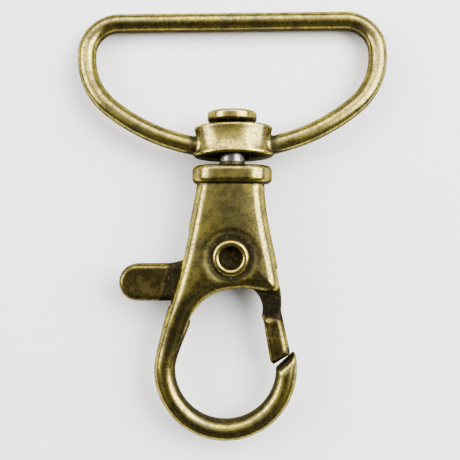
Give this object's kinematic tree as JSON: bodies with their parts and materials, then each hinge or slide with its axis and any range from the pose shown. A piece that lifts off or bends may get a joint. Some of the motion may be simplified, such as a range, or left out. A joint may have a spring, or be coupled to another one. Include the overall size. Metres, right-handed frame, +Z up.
{
  "type": "swivel trigger snap hook with strap ring",
  "caption": "Antique-brass swivel snap hook with a thumb-lever gate and a D-shaped ring for a wide strap, lying flat.",
  "frame": {"origin": "bottom centre of the bounding box, on the surface the part lies on", "axes": "+Y along the swivel axis from the hook towards the strap bar, +X across the strap with the thumb tab on -X, +Z up through the hook's flat face"},
  "size_m": [0.0438, 0.0606, 0.0072],
  "materials": {
    "antique_brass": "satin",
    "rivet_brass": "satin",
    "spring_steel": "satin"
  },
  "bodies": {
    "hook": {"hook_body": "antique_brass", "pivot_rivet": "rivet_brass", "gate_spring": "spring_steel"},
    "lever": {"gate_lever": "antique_brass"},
    "swivel": {"swivel_rivet": "rivet_brass"},
    "ring": {"strap_ring": "antique_brass"}
  },
  "joints": [
    {"name": "gate_pivot", "type": "hinge", "parent": "hook", "child": "lever", "pos_m": [-0.00024, -0.00473, 0.00365], "axis": [0, 0, -1], "range_deg": [0, 28], "stiffness_Nm_per_rad": 0.08, "springref_deg": -22.92, "deforming": ["gate_spring"]},
    {"name": "swivel_spin", "type": "hinge", "parent": "hook", "child": "swivel", "pos_m": [-0.00004, 0.00227, 0.00365], "axis": [0, 1, 0], "continuous": true},
    {"name": "ring_rock", "type": "hinge", "parent": "swivel", "child": "ring", "pos_m": [-0.00004, 0.01127, 0.00365], "axis": [1, 0, 0], "range_deg": [0, 15.1]}
  ]
}
